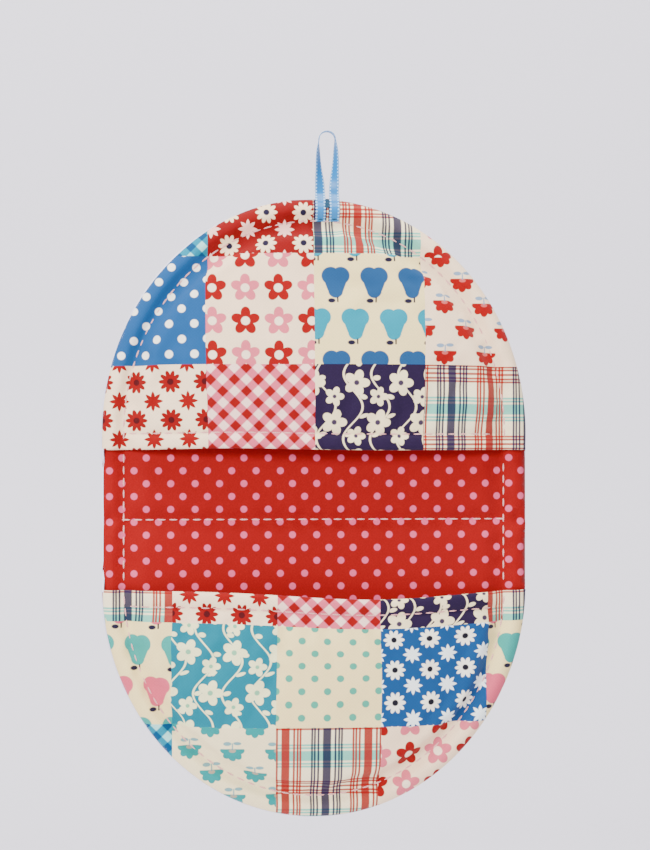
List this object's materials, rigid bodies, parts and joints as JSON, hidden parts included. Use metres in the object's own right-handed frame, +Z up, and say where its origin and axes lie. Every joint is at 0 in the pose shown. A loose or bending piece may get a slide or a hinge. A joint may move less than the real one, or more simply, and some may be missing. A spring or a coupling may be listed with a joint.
{
  "type": "oven mitt",
  "caption": "Oval padded oven mitt with a patchwork hand pocket at each end, a quilted fold across its middle and a ribbon hanging loop.",
  "frame": {"origin": "the hanging point, inside the top of the ribbon loop where a hook carries it", "axes": "+Z up along the hanging mitt, -Y out of the front where the pockets are, +X to the right seen from the front"},
  "size_m": [0.16, 0.0197, 0.2575],
  "materials": {
    "patchwork_cotton": "printed patchwork cotton, plain weave",
    "dotted_cotton": "red cotton with small pink dots",
    "back_cotton": "plain pale cotton",
    "wadding": "soft cotton wadding",
    "heat_liner": "heat-resisting needled liner",
    "thread": "pale pink-cream sewing thread",
    "ribbon_thread": "blue sewing thread",
    "ribbon_satin": "light blue satin ribbon with a dotted edge"
  },
  "bodies": {
    "loop": {"ribbon_loop": "ribbon_satin"},
    "upper_half": {"face_cloth_upper": "dotted_cotton", "base_wadding_upper": "wadding", "heat_liner_upper": "heat_liner", "back_cloth_upper": "back_cotton", "upper_pocket_lining": "dotted_cotton", "upper_pocket_wadding": "wadding", "upper_pocket_cloth": "patchwork_cotton", "edge_stitches_upper": "thread", "upper_hem_stitches": "thread", "centre_stitches": "thread", "ribbon_ends": "ribbon_satin", "ribbon_tack": "ribbon_thread"},
    "lower_half": {"face_cloth_lower": "dotted_cotton", "base_wadding_lower": "wadding", "heat_liner_lower": "heat_liner", "back_cloth_lower": "back_cotton", "lower_pocket_lining": "dotted_cotton", "lower_pocket_wadding": "wadding", "lower_pocket_cloth": "patchwork_cotton", "edge_stitches_lower": "thread", "lower_hem_stitches": "thread"}
  },
  "joints": [
    {"name": "loop_swing", "type": "hinge", "parent": "loop", "child": "upper_half", "pos_m": [0, 0, -0.0235], "axis": [1, 0, 0], "range_deg": [-90, 90]},
    {"name": "fold", "type": "hinge", "parent": "upper_half", "child": "lower_half", "pos_m": [-0.0045, 0, -0.1453], "axis": [-1, 0, 0], "range_deg": [-15, 120]}
  ]
}
